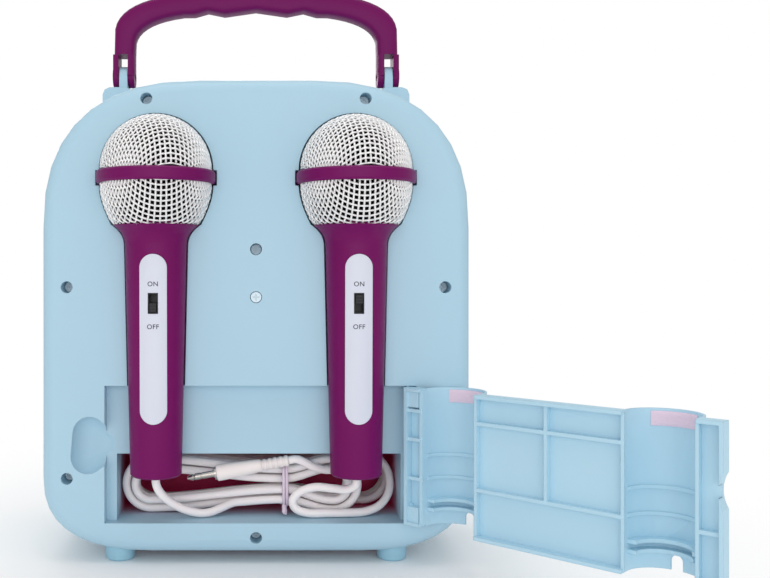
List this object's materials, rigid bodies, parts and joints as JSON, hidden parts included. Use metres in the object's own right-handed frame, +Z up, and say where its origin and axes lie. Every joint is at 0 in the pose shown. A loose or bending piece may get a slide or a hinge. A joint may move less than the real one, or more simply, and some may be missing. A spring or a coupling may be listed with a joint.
{
  "type": "karaoke machine",
  "caption": "Upright rounded karaoke machine with folding handle, disc well and two corded microphones clipped in its back over a storage pocket.",
  "frame": {"origin": "on the ground under the middle of the case", "axes": "+Z up, +Y out of the back where the microphones are, -Y out of the front with the disc lid, +X to the right seen from the front"},
  "size_m": [0.2992, 0.234, 0.3086],
  "materials": {
    "shell_blue": "fine satin moulding",
    "plum_plastic": "semi-gloss moulding",
    "pale_plastic": "satin",
    "grille_wire": "plated woven wire",
    "cord_jacket": "soft satin jacket",
    "plug_grip": "satin",
    "tie_plastic": "satin",
    "pink_foam": "open foam",
    "circuit_board": "lacquered",
    "clear_window": "clear moulding",
    "display_lens": "smoked",
    "cone_paper": "pressed paper",
    "soft_rubber": "matt",
    "bright_steel": "plain",
    "dark_plastic": "satin"
  },
  "bodies": {
    "case": {"rear_shell": "shell_blue", "front_shell": "shell_blue", "feet": "shell_blue", "case_screws": "bright_steel", "handle_pins": "bright_steel", "speaker_grille": "pale_plastic", "speaker_frame": "dark_plastic", "speaker_magnet": "bright_steel", "speaker_surround": "soft_rubber", "speaker_cone": "cone_paper", "disc_tray": "pale_plastic", "lid_pin": "bright_steel", "spindle_motor": "bright_steel", "drive_base": "dark_plastic", "sled_rods": "bright_steel", "sled_motor": "bright_steel", "main_board": "circuit_board", "control_board": "circuit_board", "potentiometers": "bright_steel", "display_window": "display_lens", "power_switch": "dark_plastic", "mic_sockets": "dark_plastic", "av_socket": "dark_plastic", "power_socket": "dark_plastic", "mic_left_hank": "cord_jacket", "mic_left_tie": "tie_plastic", "mic_left_plug": "plug_grip", "mic_left_plug_tip": "bright_steel", "mic_right_hank": "cord_jacket", "mic_right_tie": "tie_plastic", "mic_right_plug": "plug_grip"},
    "carry_handle": {"handle": "plum_plastic"},
    "storage_door": {"storage_door": "shell_blue", "door_pads": "pink_foam"},
    "disc_lid": {"disc_lid": "shell_blue", "lid_window": "clear_window"},
    "turntable": {"turntable": "dark_plastic"},
    "laser_sled": {"laser_sled": "dark_plastic"},
    "lead_screw": {"lead_screw": "bright_steel"},
    "power_slider": {"power_slider": "plum_plastic"},
    "volume_knob": {"volume_knob": "plum_plastic"},
    "echo_knob": {"echo_knob": "plum_plastic"},
    "play_button": {"play_button": "plum_plastic"},
    "stop_button": {"stop_button": "plum_plastic"},
    "back_button": {"back_button": "plum_plastic"},
    "next_button": {"next_button": "plum_plastic"},
    "mic_left": {"mic_left_body": "plum_plastic", "mic_left_grille": "grille_wire", "mic_left_ring": "plum_plastic", "mic_left_inlay": "pale_plastic", "mic_left_switch_case": "dark_plastic", "mic_left_cord": "cord_jacket"},
    "mic_left_switch": {"mic_left_switch": "dark_plastic"},
    "mic_right": {"mic_right_body": "plum_plastic", "mic_right_grille": "grille_wire", "mic_right_ring": "plum_plastic", "mic_right_inlay": "pale_plastic", "mic_right_switch_case": "dark_plastic", "mic_right_cord": "cord_jacket"},
    "mic_right_switch": {"mic_right_switch": "dark_plastic"}
  },
  "joints": [
    {"name": "handle_fold", "type": "hinge", "parent": "case", "child": "carry_handle", "pos_m": [0, 0, 0.2603], "axis": [1, 0, 0], "range_deg": [-90, 90]},
    {"name": "door_hinge", "type": "hinge", "parent": "case", "child": "storage_door", "pos_m": [-0.07745, 0.0568, 0.0564], "axis": [0, 0, 1], "range_deg": [-135.6, 0]},
    {"name": "mic_left_lift", "type": "slide", "parent": "case", "child": "mic_left", "axis": [0, 1, 0], "range_m": [0, 0.036]},
    {"name": "mic_right_lift", "type": "slide", "parent": "case", "child": "mic_right", "axis": [0, 1, 0], "range_m": [0, 0.036]},
    {"name": "mic_left_switch_slide", "type": "slide", "parent": "mic_left", "child": "mic_left_switch", "axis": [0, 0, 1], "range_m": [0, 0.0042]},
    {"name": "mic_right_switch_slide", "type": "slide", "parent": "mic_right", "child": "mic_right_switch", "axis": [0, 0, 1], "range_m": [-0.0042, 0]},
    {"name": "lid_hinge", "type": "hinge", "parent": "case", "child": "disc_lid", "pos_m": [0, -0.0582, 0.0982], "axis": [1, 0, 0], "range_deg": [0, 90]},
    {"name": "disc_spin", "type": "hinge", "parent": "case", "child": "turntable", "pos_m": [0, -0.0494, 0.165], "axis": [0, 1, 0], "continuous": true},
    {"name": "sled_slide", "type": "slide", "parent": "case", "child": "laser_sled", "axis": [1, 0, 0], "range_m": [-0.016, 0.016]},
    {"name": "screw_turn", "type": "hinge", "parent": "case", "child": "lead_screw", "pos_m": [0.039, -0.0266, 0.1586], "axis": [1, 0, 0], "range_deg": [-1920, 1920]},
    {"name": "volume_turn", "type": "hinge", "parent": "case", "child": "volume_knob", "pos_m": [-0.078, -0.058, 0.058], "axis": [0, -1, 0], "range_deg": [-150, 150]},
    {"name": "echo_turn", "type": "hinge", "parent": "case", "child": "echo_knob", "pos_m": [-0.078, -0.058, 0.032], "axis": [0, -1, 0], "range_deg": [-150, 150]},
    {"name": "power_slide", "type": "slide", "parent": "case", "child": "power_slider", "axis": [0, 0, 1], "range_m": [0, 0.004]},
    {"name": "play_press", "type": "slide", "parent": "case", "child": "play_button", "axis": [0, 1, 0], "range_m": [0, 0.0012], "stiffness_N_per_m": 600, "springref_m": -0.0006},
    {"name": "stop_press", "type": "slide", "parent": "case", "child": "stop_button", "axis": [0, 1, 0], "range_m": [0, 0.0012], "stiffness_N_per_m": 600, "springref_m": -0.0006},
    {"name": "back_press", "type": "slide", "parent": "case", "child": "back_button", "axis": [0, 1, 0], "range_m": [0, 0.0012], "stiffness_N_per_m": 600, "springref_m": -0.0006},
    {"name": "next_press", "type": "slide", "parent": "case", "child": "next_button", "axis": [0, 1, 0], "range_m": [0, 0.0012], "stiffness_N_per_m": 600, "springref_m": -0.0006}
  ],
  "couplings": [
    {"joint": "screw_turn", "follows": "sled_slide", "rad_per_m": 2094.4}
  ]
}
